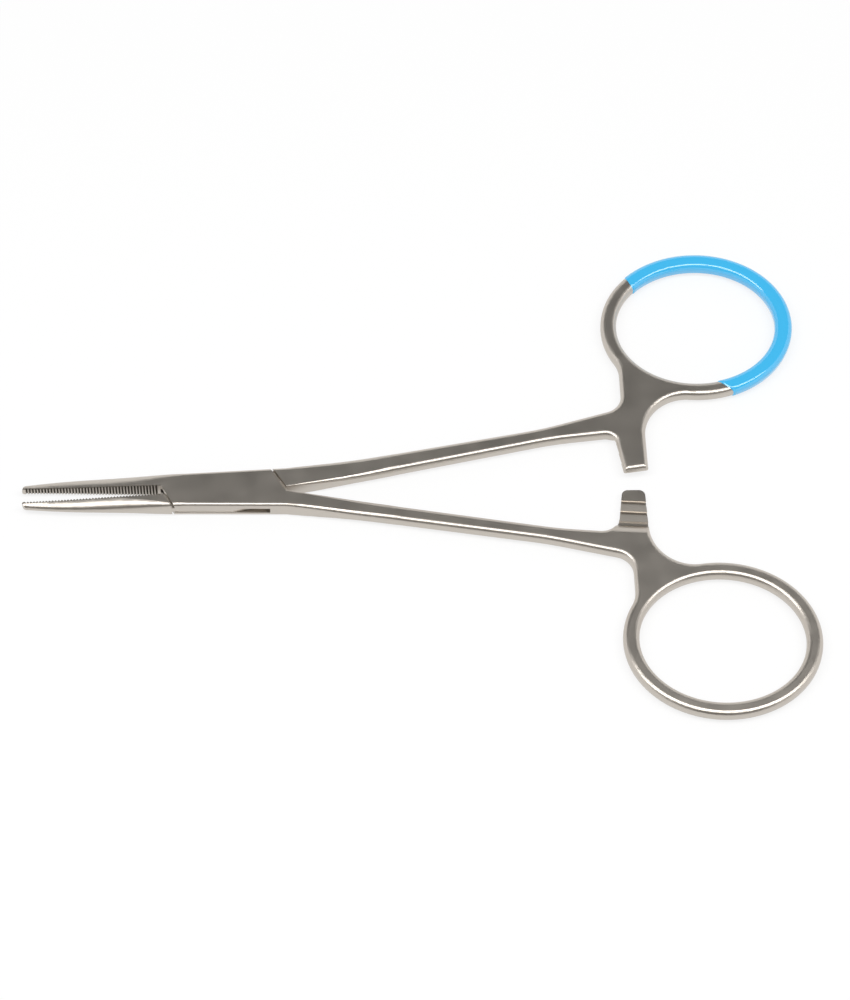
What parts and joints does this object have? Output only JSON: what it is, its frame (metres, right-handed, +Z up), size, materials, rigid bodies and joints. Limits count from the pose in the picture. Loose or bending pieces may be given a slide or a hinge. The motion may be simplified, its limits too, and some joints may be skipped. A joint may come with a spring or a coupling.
{
  "type": "hemostat forceps",
  "caption": "Straight fine hemostat forceps: cross-grooved jaws, flush box-lock hinge, slim shanks with ratchet arms and oval finger rings, part of a ring coated blue.",
  "frame": {"origin": "on the axis of the pivot pin, at the underside of the box, where the tool lies on a table", "axes": "+X from the pivot to the finger rings, the jaws point along -X; +Y towards the coated ring; +Z up, along the pivot pin"},
  "size_m": [0.1251, 0.0844, 0.0032],
  "materials": {
    "steel": "satin",
    "coating": "gloss"
  },
  "bodies": {
    "female body": {"female_half": "steel", "pivot_pin": "steel"},
    "male body": {"male_half": "steel", "ring_coating": "coating"}
  },
  "joints": [
    {"name": "box_lock", "type": "hinge", "parent": "female body", "child": "male body", "pos_m": [0, 0, 0], "axis": [0, 0, 1], "range_deg": [-3.85, 45]}
  ]
}
